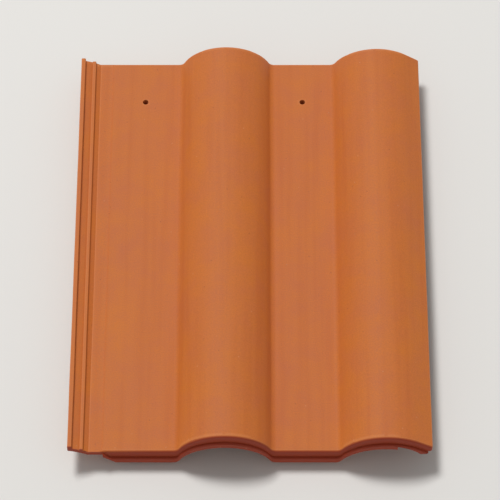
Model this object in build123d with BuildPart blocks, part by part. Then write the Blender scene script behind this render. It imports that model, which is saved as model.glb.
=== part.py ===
"""Interlocking double-roll roof tile, pressed and fired as one piece of clay.

X runs across the roof: the side lock is at -X and the cover roll at +X.
Y runs up the slope: the tail is at -Y and the head at +Y.
Z is square to the face. The tail bars and the nibs end at Z = 0, and the tile lies on them.
The origin is the middle of the footprint on that plane.
"""
import os
from math import acos, atan2, cos, degrees, radians, sin, sqrt, tan

from build123d import *

# Overall sizes of the tile and of the roof it makes
length = 420.0
cover_width = 300.0
side_lap = 30.0
side_gap = 1.5
pan_height = 26.0
body_thickness = 12.0

# Rolls, their feet in the pans and the hollows under them
roll_radius = 45.0
middle_roll_rise = 31.5
cover_roll_rise = 28.5
roll_spacing = 146.5
foot_radius = 6.0
hollow_radius = 37.0
hollow_mouth_radius = 12.0

# Outer edge of the cover roll
flank_angle = 38.5
cover_edge_height = 8.0
cover_edge_radius = 3.0
cover_wall_clearance = 1.5
cover_wall_radius = 1.0
cover_rib_width = 3.0
cover_rib_clearance = 1.5

# Side lock, which lies under the cover roll of the tile on the left
nest_clearance = 1.0
lock_thickness = 5.0
lock_root = 6.0
drip_channel_width = 13.0
drip_channel_depth = 1.0
outer_rib_width = 4.0
outer_rib_height = 4.0
inner_rib_width = 3.5
inner_rib_height = 2.4
inner_rib_setback = 10.5
lock_rib_radius = 1.2
back_relief_angle = 45.0

# Front end: the nose, the lip that stands out below it and the bars behind
nose_radius = 2.5
nose_depth = 10.5
lip_step = 2.5
lip_step_radius = 1.5
lip_depth = 21.0
lip_length = 9.0
lip_hollow_radius = 43.5
lip_mouth_radius = 7.0
lip_radius = 4.0
bar_length = 7.0
bar_spacing = 23.0
bar_count = 3
bar_lock_clearance = 2.0

# Head: nibs that hang on the batten, and the nail holes in front of them
head_radius = 1.5
nib_width = 34.0
nib_length = 16.0
nib_setback = 10.0
nib_corner_radius = 3.0
nib_edge_radius = 2.0
nail_hole_radius = 2.75
nail_hole_distance = 18.0

# Levels and places that follow from the sizes above
pan_top = pan_height
pan_under = pan_top - body_thickness
middle_crest = pan_top + middle_roll_rise
cover_crest = pan_top + cover_roll_rise
tail_y = -length / 2
nose_y = tail_y + lip_step
head_y = length / 2
left_x = -(cover_width + side_lap) / 2
right_x = (cover_width + side_lap) / 2
pan_left = left_x + side_lap + side_gap
edge_top = pan_top + cover_edge_height
flank_top = cover_crest - roll_radius * (1 - cos(radians(flank_angle)))
flank_run = (flank_top - edge_top) / tan(radians(flank_angle))
cover_roll_x = right_x - flank_run - roll_radius * sin(radians(flank_angle))
middle_roll_x = cover_roll_x - roll_spacing
channel_floor = pan_top - drip_channel_depth
channel_left = pan_left - drip_channel_width
cover_wall_bottom = channel_floor + cover_wall_clearance
cover_hollow_z = cover_crest - body_thickness - hollow_radius
cover_wall_left = cover_roll_x + sqrt(hollow_radius**2 - (cover_wall_bottom - cover_hollow_z) ** 2)
nested_roll_x = cover_roll_x - cover_width
nested_roll_z = cover_crest - roll_radius - pan_height
nest_radius = roll_radius + nest_clearance
lock_face_radius = nest_radius + lock_thickness
lock_back_x = nested_roll_x + nest_radius * sin(radians(flank_angle))
lock_back_z = nested_roll_z + nest_radius * cos(radians(flank_angle))
bar_right = left_x + cover_width - bar_lock_clearance
step_top = pan_top - nose_depth
step_rise = nose_depth - nose_radius
step_corner_x = pan_left + step_rise / tan(radians(back_relief_angle))
root_depth = (nose_depth + body_thickness) / 2
root_radius = (roll_radius + hollow_radius) / 2
root_foot_radius = (foot_radius + hollow_mouth_radius) / 2
nib_face_y = head_y - nib_setback - nib_length
nail_hole_y = nib_face_y - nail_hole_distance

# How near an outline the middle of an edge lies that follows it
match_distance = 0.01


class RollLine:
    """Section of a roll: a crown arc that meets the pans beside it in two foot arcs."""

    def __init__(self, middle, crest, radius, pan, foot):
        self.middle = middle
        self.radius = radius
        self.foot = foot
        self.centre_z = crest - radius
        self.foot_z = pan + foot
        climb = self.foot_z - self.centre_z
        self.reach = sqrt((radius + foot) ** 2 - climb**2)
        self.lean = degrees(atan2(climb, self.reach))
        self.left_end = (middle - self.reach, pan)
        self.right_end = (middle + self.reach, pan)

    def draw_left_foot(self):
        """Arc from the pan on the left up to the crown."""
        CenterArc((self.middle - self.reach, self.foot_z), self.foot, -90, 90 - self.lean)

    def draw_right_foot(self):
        """Arc from the crown down to the pan on the right."""
        CenterArc((self.middle + self.reach, self.foot_z), self.foot, 180 + self.lean, 90 - self.lean)

    def draw_crown(self, right=None):
        """Crown from the left foot to the right foot, or only as far as x = right."""
        start = self.lean if right is None else degrees(acos((right - self.middle) / self.radius))
        CenterArc((self.middle, self.centre_z), self.radius, start, 180 - self.lean - start)

    def height_at(self, x):
        """Height of the crown at x."""
        return self.centre_z + sqrt(self.radius**2 - (x - self.middle) ** 2)


def draw_wave(left, right, pan, sink, radius, foot):
    """Draw pan, middle roll, pan and cover roll from left to right, and return the last point.

    The crests lie `sink` below those of the face.
    """
    middle = RollLine(middle_roll_x, middle_crest - sink, radius, pan, foot)
    cover = RollLine(cover_roll_x, cover_crest - sink, radius, pan, foot)
    Line((left, pan), middle.left_end)
    middle.draw_left_foot()
    middle.draw_crown()
    middle.draw_right_foot()
    Line(middle.right_end, cover.left_end)
    cover.draw_left_foot()
    cover.draw_crown(right)
    return (right, cover.height_at(right))


def relief_x(level):
    """Place at a level of the slope that lifts the tile's back clear of the roll below the side lock."""
    return pan_left + (lock_back_z - level) / tan(radians(back_relief_angle))


def draw_face(left, sink):
    """Draw the face, moved down by `sink`, from a place on the first pan to the right side."""
    crown_end = draw_wave(left, right_x - flank_run, pan_top - sink, sink, roll_radius, foot_radius)
    Line(crown_end, (right_x, edge_top - sink))


def draw_step():
    """Draw the top of the step: a rise beside the side lock, then the face moved down."""
    Line((pan_left, step_top + step_rise), (step_corner_x, step_top))
    draw_face(step_corner_x, nose_depth)


def draw_cross_rib(bottom, sink, radius, foot):
    """Outline of the lip or of a bar, from a root inside the body down to its own wave."""
    root = pan_top - root_depth
    root_end = draw_wave(relief_x(root), bar_right, root, root_depth, root_radius, root_foot_radius)
    rib_end = draw_wave(relief_x(bottom), bar_right, bottom, sink, radius, foot)
    Line(root_end, rib_end)
    Line((relief_x(root), root), (relief_x(bottom), bottom))


def follows(edge, outline):
    """Whether the middle of an edge lies on an outline."""
    return outline.line.distance_to(edge.center()) < match_distance


def on_face(edge):
    """Whether an edge lies on the face, above the step."""
    return edge.bounding_box().min.Z > step_top


def section_plane(y):
    """Plane square to Y, drawn on in X and Z, whose extrusions run towards the tail."""
    return Plane.XZ.offset(-y)


def nested_height(radius, x):
    """Height at x of a circle about the roll that lies below the side lock when tiles are laid."""
    return nested_roll_z + sqrt(radius**2 - (x - nested_roll_x) ** 2)


def nested_angle(radius, x):
    """Angle above the horizontal at which that circle passes x."""
    return degrees(acos((x - nested_roll_x) / radius))


face_middle = RollLine(middle_roll_x, middle_crest, roll_radius, pan_top, foot_radius)
face_cover = RollLine(cover_roll_x, cover_crest, roll_radius, pan_top, foot_radius)
first_pan_x = (pan_left + face_middle.left_end[0]) / 2
second_pan_x = (face_middle.right_end[0] + face_cover.left_end[0]) / 2

# Outlines of the step and of the lip's lower end, by which their arrises are found
lip_pan = pan_top - lip_depth
with BuildLine(section_plane(tail_y)) as step_line:
    draw_step()
with BuildLine(section_plane(tail_y)) as lip_line:
    draw_wave(relief_x(lip_pan), bar_right, lip_pan, lip_depth, lip_hollow_radius, lip_mouth_radius)

with BuildPart() as roof_tile:
    # Face: two pans and two rolls, as a solid down to the plane of the bars
    with BuildSketch(section_plane(head_y)) as face_section:
        with BuildLine():
            draw_face(pan_left, 0)
            Polyline((right_x, edge_top), (right_x, 0), (pan_left, 0), (pan_left, pan_top))
        make_face()
        fillet(face_section.vertices().sort_by_distance((right_x, edge_top))[0], cover_edge_radius)
    extrude(amount=head_y - nose_y)

    # Rounded arrises of the nose and the head
    fillet(roof_tile.edges().group_by(Axis.Y)[0].filter_by(on_face), nose_radius)
    fillet(roof_tile.edges().group_by(Axis.Y)[-1].filter_by(on_face), head_radius)

    # Step below the nose, where the lip stands out
    with BuildSketch(section_plane(nose_y)) as step_section:
        with BuildLine():
            draw_step()
            Polyline(
                (right_x, edge_top - nose_depth), (right_x, 0), (pan_left, 0), (pan_left, step_top + step_rise)
            )
        make_face()
    extrude(amount=lip_step)
    step_edges = roof_tile.edges().group_by(Axis.Y)[0]
    fillet(step_edges.filter_by(lambda edge: follows(edge, step_line)), lip_step_radius)

    # Under side: the pans' backs, the hollows of the rolls and the edge of the cover roll
    with BuildSketch(section_plane(head_y)) as under_section:
        with BuildLine():
            back_left = relief_x(pan_under)
            hollow_end = draw_wave(
                back_left, cover_wall_left, pan_under, body_thickness, hollow_radius, hollow_mouth_radius
            )
            Polyline(hollow_end, (right_x, cover_wall_bottom), (right_x, 0), (pan_left, 0))
            Polyline((pan_left, 0), (pan_left, lock_back_z), (back_left, pan_under))
        make_face()
    extrude(amount=length, mode=Mode.SUBTRACT)
    long_edges = roof_tile.edges().filter_by(Axis.Y)
    wall_corners = (
        long_edges.sort_by_distance((cover_wall_left, 0, cover_wall_bottom))[0],
        long_edges.sort_by_distance((right_x, 0, cover_wall_bottom))[0],
    )
    fillet(wall_corners, cover_wall_radius)

    # Side lock: a plate that follows the roll of the tile below, two ribs and the drip channel
    with BuildSketch(section_plane(head_y)) as lock_section:
        with BuildLine():
            nest_start = 90 - flank_angle
            nest_turn = nested_angle(nest_radius, left_x) - nest_start
            CenterArc((nested_roll_x, nested_roll_z), nest_radius, nest_start, nest_turn)
            Polyline(
                (lock_back_x, lock_back_z),
                (pan_left + lock_root, lock_back_z),
                (pan_left + lock_root, channel_floor),
                (channel_left, channel_floor),
                (channel_left, nested_height(lock_face_radius, channel_left)),
            )
            face_start = nested_angle(lock_face_radius, channel_left)
            face_turn = nested_angle(lock_face_radius, left_x) - face_start
            CenterArc((nested_roll_x, nested_roll_z), lock_face_radius, face_start, face_turn)
            Line(
                (left_x, nested_height(lock_face_radius, left_x)),
                (left_x, nested_height(nest_radius, left_x)),
            )
        make_face()
        outer_rib_x = left_x + outer_rib_width / 2
        inner_rib_x = left_x + inner_rib_setback + inner_rib_width / 2
        for rib_x, rib_width, rib_height in (
            (outer_rib_x, outer_rib_width, outer_rib_height),
            (inner_rib_x, inner_rib_width, inner_rib_height),
        ):
            rib_top = nested_height(lock_face_radius, rib_x) + rib_height
            rib_root = rib_height + lock_thickness / 2
            with Locations((rib_x, rib_top)):
                Rectangle(rib_width, rib_root, align=(Align.CENTER, Align.MAX))
            rib_corners = lock_section.vertices().sort_by_distance((rib_x, rib_top))[0:2]
            fillet(rib_corners, lock_rib_radius)
    extrude(amount=head_y - nose_y)

    # Rib under the cover roll that hangs between the two ribs of the next tile's lock
    cover_rib_x = left_x + cover_width + (outer_rib_width + inner_rib_setback) / 2
    cover_rib_bottom = nested_height(lock_face_radius, cover_rib_x - cover_width) + cover_rib_clearance
    cover_hollow = RollLine(
        cover_roll_x, cover_crest - body_thickness, hollow_radius, pan_under, hollow_mouth_radius
    )
    cover_rib_root = cover_hollow.height_at(cover_rib_x) + cover_rib_width
    with BuildSketch(section_plane(head_y)) as cover_rib_section:
        with Locations((cover_rib_x, cover_rib_bottom)):
            Rectangle(
                cover_rib_width, cover_rib_root - cover_rib_bottom, align=(Align.CENTER, Align.MIN)
            )
        fillet(cover_rib_section.vertices().group_by(Axis.Y)[0], lock_rib_radius)
    extrude(amount=head_y - nose_y)

    # Nose lip with a rounded lower arris
    with BuildSketch(section_plane(tail_y + lip_length)) as lip_section:
        with BuildLine():
            draw_cross_rib(lip_pan, lip_depth, lip_hollow_radius, lip_mouth_radius)
        make_face()
    extrude(amount=lip_length)
    tail_edges = roof_tile.edges().group_by(Axis.Y)[0]
    fillet(tail_edges.filter_by(lambda edge: follows(edge, lip_line)), lip_radius)

    # Bars behind the lip, which bear in the pans and straddle the rolls of the tile below
    bar_rears = [
        section_plane(tail_y + lip_length + bar_length + index * bar_spacing) for index in range(bar_count)
    ]
    with BuildSketch(*bar_rears) as bar_section:
        with BuildLine():
            draw_cross_rib(0, pan_height - nest_clearance, nest_radius, foot_radius)
        make_face()
    extrude(amount=bar_length)

    # Nibs under the pans at the head
    nib_y = nib_face_y + nib_length / 2
    with BuildSketch(Plane.XY) as nib_section:
        with Locations((first_pan_x, nib_y), (second_pan_x, nib_y)):
            RectangleRounded(nib_width, nib_length, nib_corner_radius)
    extrude(amount=pan_top - root_depth)
    floor_edges = roof_tile.edges().group_by(Axis.Z)[0]
    fillet(floor_edges.filter_by(lambda edge: edge.center().Y > nail_hole_y), nib_edge_radius)

    # Nail holes, in line with the nibs
    with Locations((first_pan_x, nail_hole_y, pan_top), (second_pan_x, nail_hole_y, pan_top)):
        Hole(nail_hole_radius, depth=body_thickness + nest_clearance)

roof_tile.part.label = "roof_tile"

os.makedirs("parts", exist_ok=True)
export_step(roof_tile.part, "parts/roof_tile.step")
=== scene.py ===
"""Looks of an interlocking double-roll roof tile, pressed and fired from red clay.

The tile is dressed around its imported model, in metres: X across the roof, Y up the slope, Z out of
the weather face. It lies on a pale floor, and the camera looks down on it from the tail.
"""

import logging
from collections.abc import Iterator
from dataclasses import dataclass, field
from enum import Enum, IntEnum
from math import cos, pi, radians, sin

import bmesh
import bpy
from mathutils import Matrix, Vector, noise
from mathutils.bvhtree import BVHTree


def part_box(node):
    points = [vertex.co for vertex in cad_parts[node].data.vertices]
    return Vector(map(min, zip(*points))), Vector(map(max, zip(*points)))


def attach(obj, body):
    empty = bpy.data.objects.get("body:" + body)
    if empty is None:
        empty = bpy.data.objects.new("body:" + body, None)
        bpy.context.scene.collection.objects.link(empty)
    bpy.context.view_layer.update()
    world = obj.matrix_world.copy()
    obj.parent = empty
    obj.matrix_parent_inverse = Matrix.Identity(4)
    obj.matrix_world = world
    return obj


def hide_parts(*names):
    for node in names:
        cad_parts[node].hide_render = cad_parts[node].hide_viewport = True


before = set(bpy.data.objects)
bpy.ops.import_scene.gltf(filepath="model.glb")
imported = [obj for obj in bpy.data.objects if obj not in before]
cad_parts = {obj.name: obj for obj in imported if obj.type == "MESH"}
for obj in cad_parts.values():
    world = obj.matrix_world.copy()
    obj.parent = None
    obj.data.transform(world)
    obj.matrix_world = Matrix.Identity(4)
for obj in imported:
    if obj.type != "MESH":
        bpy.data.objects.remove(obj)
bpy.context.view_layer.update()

log = logging.getLogger("roof_tile")

MM = 0.001
NODE = "roof_tile"
BODY = "root"

# The curve from stored sRGB values to linear light: a straight foot, then a power
BYTE_MAX = 255
FOOT_END = 0.04045
FOOT_SLOPE = 12.92
CURVE_OFFSET = 0.055
CURVE_POWER = 2.4


class SkinMark(Enum):
    """Values from 0 to 1 that the tile's skin carries for its material."""

    SLIP = "slip"
    ARRIS_WEAR_AND_HIGHLIGHT = "arris_wear_and_highlight"
    FRONT_SHADE = "front_shade"


class MixSocket(IntEnum):
    """Places of the sockets of a Mix node that mixes colours."""

    SHARE = 0
    UNDER = 6
    OVER = 7
    RESULT = 2


def linear(hex_colour: str) -> tuple[float, float, float, float]:
    """Turn an sRGB hex colour into linear light.

    Args:
        hex_colour: The colour as six hex digits after a number sign.

    Returns:
        Red, green, blue and an alpha of 1.
    """
    light = []
    for byte in bytes.fromhex(hex_colour[1:]):
        stored = byte / BYTE_MAX
        if stored <= FOOT_END:
            light.append(stored / FOOT_SLOPE)
        else:
            light.append(((stored + CURVE_OFFSET) / (1 + CURVE_OFFSET)) ** CURVE_POWER)
    red, green, blue = light
    return (red, green, blue, 1.0)


def per_metre(size_mm: float) -> float:
    """Scale of a pattern whose features are `size_mm` across, on coordinates in metres."""
    return 1 / (size_mm * MM)


def limited(value: float) -> float:
    """The value, held between 0 and 1."""
    return min(max(value, 0.0), 1.0)


def add_node(
    tree: bpy.types.NodeTree,
    kind: str,
    inputs: dict[str | int, object] | None = None,
    stops: tuple[tuple[float, str], ...] = (),
    **settings: object,
) -> bpy.types.Node:
    """Add a node with its settings and links.

    Args:
        tree: The node tree that takes the node.
        kind: The node's type name.
        inputs: For each input, by name or place, the value to set or the output that feeds it.
        stops: Places and hex colours of a colour ramp's two ends.
        settings: Properties of the node itself.

    Returns:
        The new node.
    """
    node = tree.nodes.new(kind)
    for name, value in settings.items():
        setattr(node, name, value)
    for index, (place, hex_colour) in enumerate(stops):
        node.color_ramp.elements[index].position = place
        node.color_ramp.elements[index].color = linear(hex_colour)
    for name, value in (inputs or {}).items():
        if isinstance(value, bpy.types.NodeSocket):
            tree.links.new(value, node.inputs[name])
        else:
            node.inputs[name].default_value = value
    return node


@dataclass(frozen=True)
class Tint:
    """A tone laid over the colour, from where a pattern passes `start` to where it reaches `end`."""

    tone: str
    share: float
    start: float
    end: float


@dataclass(frozen=True)
class Speck:
    """Tone of a mineral's grains in the clay, and how rare they are, from 0 to 1."""

    tone: str
    rarity: float


@dataclass(frozen=True)
class FiredClay:
    """Red roofing clay, pressed smooth, sprayed with thin clay slip on the weather side and fired.

    The slip gives the eye an even, matte terracotta with soft clouds of orange and pink, faint
    streaks along the tile, a fine grain and slightly paler edges, partly from wear of the slip and
    partly a painted highlight. The face of the nose and the lip below it are painted a deeper red,
    which is painted shade. The back shows the bare clay, which is rougher and less even.
    """

    slip_orange: str = "#CA732B"
    slip_pink: str = "#C26C39"
    bare_clay: str = "#B5653A"
    bare_pale: str = "#C1774C"
    streak: Tint = Tint("#B55A22", share=0.25, start=0.4, end=0.8)
    # Paler edges: partly slip worn thin, partly a painted highlight where edges catch the light
    arris_wear_and_highlight: Tint = Tint("#D88A53", share=0.35, start=0.1, end=0.9)
    # Painted shade: a deeper red on the nose and the lip under it stands in for the shade below the nose
    front_shade: Tint = Tint("#9E381A", share=1.0, start=0.15, end=0.85)
    iron: Speck = Speck("#9A5030", rarity=0.82)
    quartz: Speck = Speck("#D08E62", rarity=0.9)

    # Nearly all of a noise pattern lies between these two values
    noise_low: float = 0.3
    noise_high: float = 0.7
    cloud_mm: float = 44.0
    cloud_detail: float = 3.0
    blotch_mm: float = 14.0
    blotch_share: float = 0.4
    streak_width_mm: float = 8.0
    streak_length_mm: float = 190.0
    # Real grain is a few tenths of a millimetre wide, and is drawn coarser so that the render shows it
    grain_mm: float = 1.3
    grain_swing: float = 0.065
    speck_spacing_mm: float = 7.0
    speck_radius_mm: float = 0.77
    speck_core_mm: float = 0.35
    speck_share: float = 0.6

    pore_spacing_mm: float = 3.4
    pore_radius_mm: float = 0.54
    pore_core_mm: float = 0.14
    pore_depth: float = 0.6
    streak_depth: float = 0.3
    slip_filling: float = 0.65
    relief_mm: float = 0.16
    relief_strength: float = 0.8

    roughness: float = 0.665
    roughness_swing: float = 0.055
    # A dry, dusty skin throws light back to where it comes from, which flattens the look of the rolls
    dustiness: float = 0.4
    ior: float = 1.5
    specular_level: float = 0.33

    def material(self) -> bpy.types.Material:
        """Build the node material of the fired clay.

        Returns:
            The material, which reads the skin marks of the tile's mesh.
        """
        # Slip-coated terracotta: a dry, even orange, duller where it faces the sky and richer on the
        # sides of the rolls, that shows its clouds and grain only close by
        clay = bpy.data.materials.new("slip_coated_terracotta")
        clay.use_nodes = True
        tree = clay.node_tree
        tree.nodes.clear()
        place = add_node(tree, "ShaderNodeTexCoord").outputs["Object"]
        slip = add_node(tree, "ShaderNodeAttribute", attribute_name=SkinMark.SLIP.value).outputs["Fac"]
        grain = self._grain(tree, place)
        streaks = self._streaks(tree, place)
        cover = add_node(
            tree, "ShaderNodeMix",
            {
                MixSocket.SHARE: slip,
                MixSocket.UNDER: self._clouds(tree, place, self.bare_clay, self.bare_pale),
                MixSocket.OVER: self._coat(tree, place, streaks),
            },
            data_type="RGBA",
        )
        dryness = add_node(
            tree, "ShaderNodeMapRange",
            {
                "Value": grain,
                "To Min": self.roughness - self.roughness_swing,
                "To Max": self.roughness + self.roughness_swing,
            },
        )
        surface = add_node(
            tree, "ShaderNodeBsdfPrincipled",
            {
                "Base Color": self._specks(tree, place, grain, cover.outputs[MixSocket.RESULT]),
                "Roughness": dryness.outputs["Result"],
                "Diffuse Roughness": self.dustiness,
                "IOR": self.ior,
                "Specular IOR Level": self.specular_level,
                "Normal": self._relief(tree, place, grain, streaks, slip),
            },
        )
        add_node(tree, "ShaderNodeOutputMaterial", {"Surface": surface.outputs["BSDF"]})
        return clay

    def _grain(self, tree: bpy.types.NodeTree, place: bpy.types.NodeSocket) -> bpy.types.NodeSocket:
        """Grain of the clay.

        Args:
            tree: The material's tree.
            place: Where the surface is.

        Returns:
            The grain, from 0 to 1.
        """
        pattern = add_node(tree, "ShaderNodeTexNoise", {"Vector": place, "Scale": per_metre(self.grain_mm)})
        spread = {"Value": pattern.outputs["Fac"], "From Min": self.noise_low, "From Max": self.noise_high}
        return add_node(tree, "ShaderNodeMapRange", spread).outputs["Result"]

    def _streaks(self, tree: bpy.types.NodeTree, place: bpy.types.NodeSocket) -> bpy.types.NodeSocket:
        """Noise drawn out along the tile, as the spraying of the slip leaves it.

        Args:
            tree: The material's tree.
            place: Where the surface is.

        Returns:
            The streaks, from 0 to 1.
        """
        across = per_metre(self.streak_width_mm)
        along = per_metre(self.streak_length_mm)
        drawn_out = add_node(tree, "ShaderNodeMapping", {"Vector": place, "Scale": (across, along, across)})
        pattern = {"Vector": drawn_out.outputs["Vector"], "Scale": 1.0}
        return add_node(tree, "ShaderNodeTexNoise", pattern).outputs["Fac"]

    def _clouds(
        self, tree: bpy.types.NodeTree, place: bpy.types.NodeSocket, first: str, second: str
    ) -> bpy.types.NodeSocket:
        """Soft clouds of two tones, as the heat of the kiln leaves them.

        Args:
            tree: The material's tree.
            place: Where the surface is.
            first: Tone of one kind of cloud, as hex.
            second: Tone of the other kind, as hex.

        Returns:
            The clouded colour.
        """
        wide = add_node(
            tree, "ShaderNodeTexNoise",
            {"Vector": place, "Scale": per_metre(self.cloud_mm), "Detail": self.cloud_detail},
        )
        small = add_node(tree, "ShaderNodeTexNoise", {"Vector": place, "Scale": per_metre(self.blotch_mm)})
        both = add_node(
            tree, "ShaderNodeMix",
            {"Factor": self.blotch_share, "A": wide.outputs["Fac"], "B": small.outputs["Fac"]},
        )
        tones = add_node(
            tree, "ShaderNodeValToRGB",
            {"Fac": both.outputs["Result"]},
            stops=((self.noise_low, first), (self.noise_high, second)),
        )
        return tones.outputs["Color"]

    def _coat(
        self, tree: bpy.types.NodeTree, place: bpy.types.NodeSocket, streaks: bpy.types.NodeSocket
    ) -> bpy.types.NodeSocket:
        """Colour of the slip: clouds, then streaks, paler edges with painted highlight and painted nose shade
        over them.

        Args:
            tree: The material's tree.
            place: Where the surface is.
            streaks: The streaks along the tile.

        Returns:
            The slip's colour.
        """
        edge_wear_and_highlights, front_shades = (
            add_node(tree, "ShaderNodeAttribute", attribute_name=mark.value).outputs["Fac"]
            for mark in (SkinMark.ARRIS_WEAR_AND_HIGHLIGHT, SkinMark.FRONT_SHADE)
        )
        colour = self._clouds(tree, place, self.slip_orange, self.slip_pink)
        # The paler edges are partly worn slip and partly painted highlight; the deeper red of the nose is
        # painted shade
        for pattern, tint in ((streaks, self.streak), (edge_wear_and_highlights, self.arris_wear_and_highlight), (front_shades, self.front_shade)):
            amount = add_node(
                tree, "ShaderNodeMapRange",
                {"Value": pattern, "From Min": tint.start, "From Max": tint.end, "To Max": tint.share},
                interpolation_type="SMOOTHSTEP",
            )
            tinted = add_node(
                tree, "ShaderNodeMix",
                {
                    MixSocket.SHARE: amount.outputs["Result"],
                    MixSocket.UNDER: colour,
                    MixSocket.OVER: linear(tint.tone),
                },
                data_type="RGBA",
            )
            colour = tinted.outputs[MixSocket.RESULT]
        return colour

    def _specks(
        self,
        tree: bpy.types.NodeTree,
        place: bpy.types.NodeSocket,
        grain: bpy.types.NodeSocket,
        colour: bpy.types.NodeSocket,
    ) -> bpy.types.NodeSocket:
        """Grain in the colour, and over it sparse small grains of iron and quartz.

        Args:
            tree: The material's tree.
            place: Where the surface is.
            grain: The grain of the clay.
            colour: The colour under the grain and the specks.

        Returns:
            The finished colour.
        """
        swing = {"Value": grain, "To Min": 1 - self.grain_swing, "To Max": 1 + self.grain_swing}
        level = add_node(tree, "ShaderNodeMapRange", swing).outputs["Result"]
        colour = add_node(tree, "ShaderNodeHueSaturation", {"Value": level, "Color": colour}).outputs["Color"]
        cells = add_node(
            tree, "ShaderNodeTexVoronoi", {"Vector": place, "Scale": per_metre(self.speck_spacing_mm)}
        )
        lots = add_node(tree, "ShaderNodeSeparateColor", {"Color": cells.outputs["Color"]})
        spot = add_node(
            tree, "ShaderNodeMapRange",
            {
                "Value": cells.outputs["Distance"],
                "From Min": self.speck_radius_mm / self.speck_spacing_mm,
                "From Max": self.speck_core_mm / self.speck_spacing_mm,
                "To Max": self.speck_share,
            },
        )
        for lot, speck in (("Red", self.iron), ("Green", self.quartz)):
            drawn = add_node(
                tree, "ShaderNodeMath", {0: lots.outputs[lot], 1: speck.rarity}, operation="GREATER_THAN"
            )
            share = add_node(
                tree, "ShaderNodeMath",
                {0: drawn.outputs["Value"], 1: spot.outputs["Result"]},
                operation="MULTIPLY",
            )
            speckled = add_node(
                tree, "ShaderNodeMix",
                {
                    MixSocket.SHARE: share.outputs["Value"],
                    MixSocket.UNDER: colour,
                    MixSocket.OVER: linear(speck.tone),
                },
                data_type="RGBA",
            )
            colour = speckled.outputs[MixSocket.RESULT]
        return colour

    def _relief(
        self,
        tree: bpy.types.NodeTree,
        place: bpy.types.NodeSocket,
        grain: bpy.types.NodeSocket,
        streaks: bpy.types.NodeSocket,
        slip: bpy.types.NodeSocket,
    ) -> bpy.types.NodeSocket:
        """Relief of the skin: grain that the slip partly fills, streaks and open pores.

        Args:
            tree: The material's tree.
            place: Where the surface is.
            grain: The grain of the clay.
            streaks: The streaks along the tile.
            slip: Where the slip covers the clay.

        Returns:
            The bent normal.
        """
        cells = add_node(
            tree, "ShaderNodeTexVoronoi", {"Vector": place, "Scale": per_metre(self.pore_spacing_mm)}
        )
        pores = add_node(
            tree, "ShaderNodeMapRange",
            {
                "Value": cells.outputs["Distance"],
                "From Min": self.pore_radius_mm / self.pore_spacing_mm,
                "From Max": self.pore_core_mm / self.pore_spacing_mm,
                "To Max": -self.pore_depth,
            },
        )
        openness = add_node(
            tree, "ShaderNodeMapRange", {"Value": slip, "To Min": 1.0, "To Max": 1 - self.slip_filling}
        )
        pitted = add_node(
            tree, "ShaderNodeMath",
            {0: grain, 1: openness.outputs["Result"], 2: pores.outputs["Result"]},
            operation="MULTIPLY_ADD",
        )
        height = add_node(
            tree, "ShaderNodeMath",
            {0: streaks, 1: self.streak_depth, 2: pitted.outputs["Value"]},
            operation="MULTIPLY_ADD",
        )
        bump = {
            "Height": height.outputs["Value"],
            "Distance": self.relief_mm * MM,
            "Strength": self.relief_strength,
        }
        return add_node(tree, "ShaderNodeBump", bump).outputs["Normal"]


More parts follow.
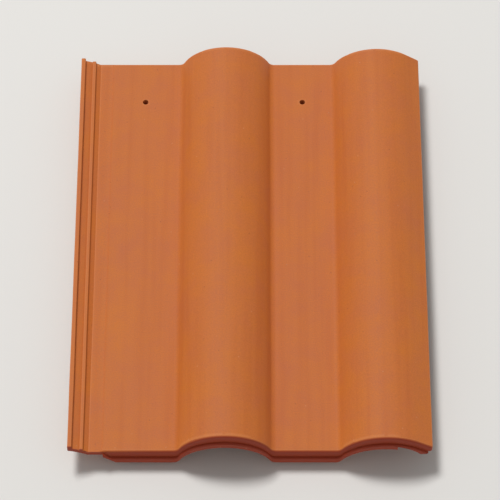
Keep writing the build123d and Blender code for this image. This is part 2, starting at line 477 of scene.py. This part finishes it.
@dataclass
class DressedTile:
    """The tile's whole skin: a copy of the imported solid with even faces, soft unevenness and its clay."""

    clay: FiredClay = field(default_factory=FiredClay)

    # The cut: how large its faces are, and what counts as one point, as level and as sharp
    face_size: float = 4 * MM
    merge_distance: float = 0.001 * MM
    sliver: float = 0.02 * MM
    level_angle: float = radians(0.2)
    level_share: float = 0.999
    sharp_angle: float = radians(32)

    # Unevenness: slow swells and smaller ripples, with nothing on the foot that stands on the floor
    swell: float = 0.14 * MM
    swell_size: float = 42 * MM
    ripple: float = 0.05 * MM
    ripple_size: float = 13 * MM
    contact_height: float = 0.5 * MM

    # Marks: how tightly an edge bends, how far back the nose's painted shade reaches, and where sprayed slip
    # stays
    arris_bend_from: float = 0.08 / MM
    arris_bend_to: float = 0.3 / MM
    front_shade_depth: float = 12 * MM
    lip_reach: float = 2.4 * MM
    spray_count: int = 8
    spray_gap: float = 0.3 * MM
    spray_ragged: float = 0.15
    bare_below: float = 0.15
    covered_above: float = 0.4

    def build(self) -> bpy.types.Object:
        """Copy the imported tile, cut it evenly, make it uneven and dress it.

        Returns:
            The finished piece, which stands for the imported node.
        """
        mesh = bpy.data.meshes.new("pressed_tile")
        skin = bmesh.new()
        skin.from_mesh(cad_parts[NODE].data)
        self._join(skin)
        self._cut(skin)
        self._mark_arris_wear_and_highlight(skin)
        self._make_uneven(skin)
        self._mark_slip(skin)
        self._mark_front_shade(skin)
        skin.to_mesh(mesh)
        skin.free()
        mesh.shade_smooth()
        mesh.set_sharp_from_angle(angle=self.sharp_angle)
        mesh.materials.append(self.clay.material())
        piece = bpy.data.objects.new("pressed_tile", mesh)
        bpy.context.scene.collection.objects.link(piece)
        piece.modifiers.new("even_shading", "WEIGHTED_NORMAL").keep_sharp = True
        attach(piece, BODY)
        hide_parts(NODE)
        log.info("pressed_tile: %d vertices, %d faces", len(mesh.vertices), len(mesh.polygons))
        return piece

    def _join(self, skin: bmesh.types.BMesh) -> None:
        """Merge the loose triangles and dissolve the lines between those that are level."""
        bmesh.ops.remove_doubles(skin, verts=skin.verts, dist=self.merge_distance)
        bmesh.ops.dissolve_limit(skin, angle_limit=self.level_angle, verts=skin.verts, edges=skin.edges)

    def _cut(self, skin: bmesh.types.BMesh) -> None:
        """Cut lines along the level faces and up the ends, and rings across the whole tile.

        Args:
            skin: The joined copy of the tile.
        """
        low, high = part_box(NODE)
        for place in self._stations(low.x, high.x):
            faces = [f for f in skin.faces if max(abs(f.normal.y), abs(f.normal.z)) > self.level_share]
            edges = {edge for face in faces for edge in face.edges}
            verts = {vert for face in faces for vert in face.verts}
            level = [*verts, *edges, *faces]
            bmesh.ops.bisect_plane(
                skin, geom=level, dist=self.sliver, plane_co=(place, 0, 0), plane_no=(1, 0, 0)
            )
        for place in self._stations(low.y, high.y):
            whole = [*skin.verts, *skin.edges, *skin.faces]
            bmesh.ops.bisect_plane(
                skin, geom=whole, dist=self.sliver, plane_co=(0, place, 0), plane_no=(0, 1, 0)
            )
        bmesh.ops.dissolve_degenerate(skin, dist=self.sliver, edges=skin.edges)

    def _stations(self, start: float, end: float) -> Iterator[float]:
        """Places between two ends that divide the way into steps of about the face size.

        Args:
            start: The lower end.
            end: The upper end.

        Yields:
            Each place, without the ends.
        """
        count = int((end - start) / self.face_size)
        for index in range(1, count):
            yield start + (end - start) * index / count

    def _mark_arris_wear_and_highlight(self, skin: bmesh.types.BMesh) -> None:
        """Mark the vertices where the skin bends outwards more tightly than the rolls do.

        Args:
            skin: The cut copy of the tile.
        """
        # Paler where the skin bends tightly: partly worn slip, partly a painted highlight
        mark = skin.verts.layers.float.new(SkinMark.ARRIS_WEAR_AND_HIGHLIGHT.value)
        for edge in skin.edges:
            first, second = edge.link_faces
            along = (edge.verts[1].co - edge.verts[0].co).normalized()
            gap = second.calc_center_median() - first.calc_center_median()
            span = max((gap - along * gap.dot(along)).length, self.sliver)
            bend = edge.calc_face_angle_signed(0.0) / span
            share = limited((bend - self.arris_bend_from) / (self.arris_bend_to - self.arris_bend_from))
            for vert in edge.verts:
                vert[mark] = max(vert[mark], share)

    def _make_uneven(self, skin: bmesh.types.BMesh) -> None:
        """Move the skin in and out a little, as pressing, drying and firing leave it.

        Args:
            skin: The cut copy of the tile, whose foot stays level on the floor.
        """
        floor_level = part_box(NODE)[0].z
        skin.normal_update()
        moves = []
        for vert in skin.verts:
            swell = noise.noise(vert.co / self.swell_size) * self.swell
            ripple = noise.noise(vert.co / self.ripple_size) * self.ripple
            rests = vert.co.z - floor_level < self.contact_height
            moves.append(Vector() if rests else vert.normal * (swell + ripple))
        for vert, move in zip(skin.verts, moves):
            vert.co += move
        skin.normal_update()

    def _mark_slip(self, skin: bmesh.types.BMesh) -> None:
        """Mark where slip lands that is sprayed straight down and at a slant from all sides.

        Args:
            skin: The uneven copy of the tile.
        """
        mark = skin.verts.layers.float.new(SkinMark.SLIP.value)
        solid = BVHTree.FromBMesh(skin)
        turns = [2 * pi * index / self.spray_count for index in range(self.spray_count)]
        spray = [Vector((0, 0, 1)), *(Vector((cos(turn), sin(turn), 1)).normalized() for turn in turns)]
        for vert in skin.verts:
            start = vert.co + vert.normal * self.spray_gap
            landed = sum(solid.ray_cast(start, line)[0] is None for line in spray) / len(spray)
            ragged = noise.noise(vert.co / self.ripple_size) * self.spray_ragged
            vert[mark] = limited((landed + ragged - self.bare_below) / (self.covered_above - self.bare_below))

    def _mark_front_shade(self, skin: bmesh.types.BMesh) -> None:
        """Mark the painted shade on the face of the nose, and on the whole lip that stands out below it.

        Args:
            skin: The uneven copy of the tile.
        """
        mark = skin.verts.layers.float.new(SkinMark.FRONT_SHADE.value)
        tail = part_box(NODE)[0].y
        for vert in skin.verts:
            # The nose rolls back under itself, so what faces down there gets the painted shade too
            facing = limited(max(-vert.normal.y, 0.0) + max(-vert.normal.z, 0.0))
            # The whole lip, its shelf too, takes the full painted shade
            if vert.co.y < tail + self.lip_reach:
                vert[mark] = 1.0
            elif vert.co.y < tail + self.front_shade_depth:
                vert[mark] = facing


@dataclass
class Studio:
    """A pale floor under one soft lamp from the ridge side and an even sky."""

    floor_colour: str = "#E2E0DC"
    floor_size: float = 14.0
    floor_drop: float = 0.1 * MM
    floor_roughness: float = 0.9
    floor_specular_level: float = 0.1
    lamp_distance: float = 6.0
    lamp_size: float = 1.4
    lamp_share: float = 0.72
    lamp_from_ridge: float = radians(18)
    lamp_from_left: float = radians(13)
    sky_colour: str = "#FFFFFF"
    sky_share: float = 0.35
    backdrop: float = 0.93

    def build(self) -> None:
        """Lay the floor, hang the lamp and set the sky."""
        self._lay_floor()
        self._hang_lamp()
        self._set_sky()
        log.info("studio: floor, lamp and sky")

    def _lay_floor(self) -> None:
        """A plain level floor just below the tile's bars and nibs."""
        mesh = bpy.data.meshes.new("floor")
        sheet = bmesh.new()
        bmesh.ops.create_grid(
            sheet,
            x_segments=1,
            y_segments=1,
            size=self.floor_size / 2,
            matrix=Matrix.Translation((0, 0, -self.floor_drop)),
        )
        sheet.to_mesh(mesh)
        sheet.free()
        # Matte floor paint: a pale, even ground that keeps the tile's shadow
        paint = bpy.data.materials.new("matte_floor_paint")
        paint.use_nodes = True
        surface = paint.node_tree.nodes["Principled BSDF"]
        surface.inputs["Base Color"].default_value = linear(self.floor_colour)
        surface.inputs["Roughness"].default_value = self.floor_roughness
        surface.inputs["Specular IOR Level"].default_value = self.floor_specular_level
        mesh.materials.append(paint)
        floor = bpy.data.objects.new("floor", mesh)
        bpy.context.scene.collection.objects.link(floor)

    def _hang_lamp(self) -> None:
        """A soft square lamp above the ridge side, a little to the left.

        Its power makes a white surface that faces it shine at `lamp_share` of white.
        """
        lamp = bpy.data.lights.new("soft_lamp", "AREA")
        lamp.shape = "SQUARE"
        lamp.size = self.lamp_size
        lamp.energy = self.lamp_share * pi**2 * self.lamp_distance**2
        side = -sin(self.lamp_from_left)
        towards = Vector((side, sin(self.lamp_from_ridge), cos(self.lamp_from_ridge))).normalized()
        holder = bpy.data.objects.new("soft_lamp", lamp)
        turn = towards.to_track_quat("Z", "Y").to_matrix().to_4x4()
        holder.matrix_world = Matrix.Translation(towards * self.lamp_distance) @ turn
        bpy.context.scene.collection.objects.link(holder)

    def _set_sky(self) -> None:
        """An even pale sky, seen by the camera and in reflections as a nearly white backdrop."""
        world = bpy.data.worlds.new("studio_sky")
        world.use_nodes = True
        tree = world.node_tree
        tree.nodes.clear()
        rays = add_node(tree, "ShaderNodeLightPath").outputs
        sight = rays["Is Camera Ray"]
        for kind in ("Is Glossy Ray", "Is Transmission Ray"):
            either = add_node(tree, "ShaderNodeMath", {0: sight, 1: rays[kind]}, operation="MAXIMUM")
            sight = either.outputs["Value"]
        strength = add_node(
            tree, "ShaderNodeMapRange", {"Value": sight, "To Min": self.sky_share, "To Max": self.backdrop}
        )
        sky = add_node(
            tree, "ShaderNodeBackground",
            {"Color": linear(self.sky_colour), "Strength": strength.outputs["Result"]},
        )
        add_node(tree, "ShaderNodeOutputWorld", {"Surface": sky.outputs["Background"]})
        bpy.context.scene.world = world


@dataclass
class PhotoCamera:
    """A camera at the photograph's angle: square to the tail, looking steeply down on the tile."""

    elevation: float = radians(61)
    distance: float = 2.4
    target_height: float = 28 * MM
    image_size: float = 500.0
    pixels_per_mm: float = 1.06
    sensor_mm: float = 36.0
    view_end: float = 50.0

    def build(self) -> None:
        """Set the camera up and make it the scene's own."""
        camera = bpy.data.cameras.new("photo_camera")
        camera.sensor_width = self.sensor_mm
        camera.lens = self.sensor_mm * self.pixels_per_mm / MM * self.distance / self.image_size
        camera.clip_end = self.view_end
        holder = bpy.data.objects.new("photo_camera", camera)
        target = Vector((0, 0, self.target_height))
        back = Vector((0, -cos(self.elevation), sin(self.elevation)))
        turn = back.to_track_quat("Z", "Y").to_matrix().to_4x4()
        holder.matrix_world = Matrix.Translation(target + back * self.distance) @ turn
        bpy.context.scene.collection.objects.link(holder)
        bpy.context.scene.camera = holder
        log.info("camera: lens %.0f mm at %.2f m", camera.lens, self.distance)


def main() -> None:
    """Dress the tile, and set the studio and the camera."""
    logging.basicConfig(level=logging.INFO, format="%(name)s %(message)s")
    bpy.context.scene.view_settings.view_transform = "Standard"
    DressedTile().build()
    Studio().build()
    PhotoCamera().build()


if __name__ == "__main__":
    main()
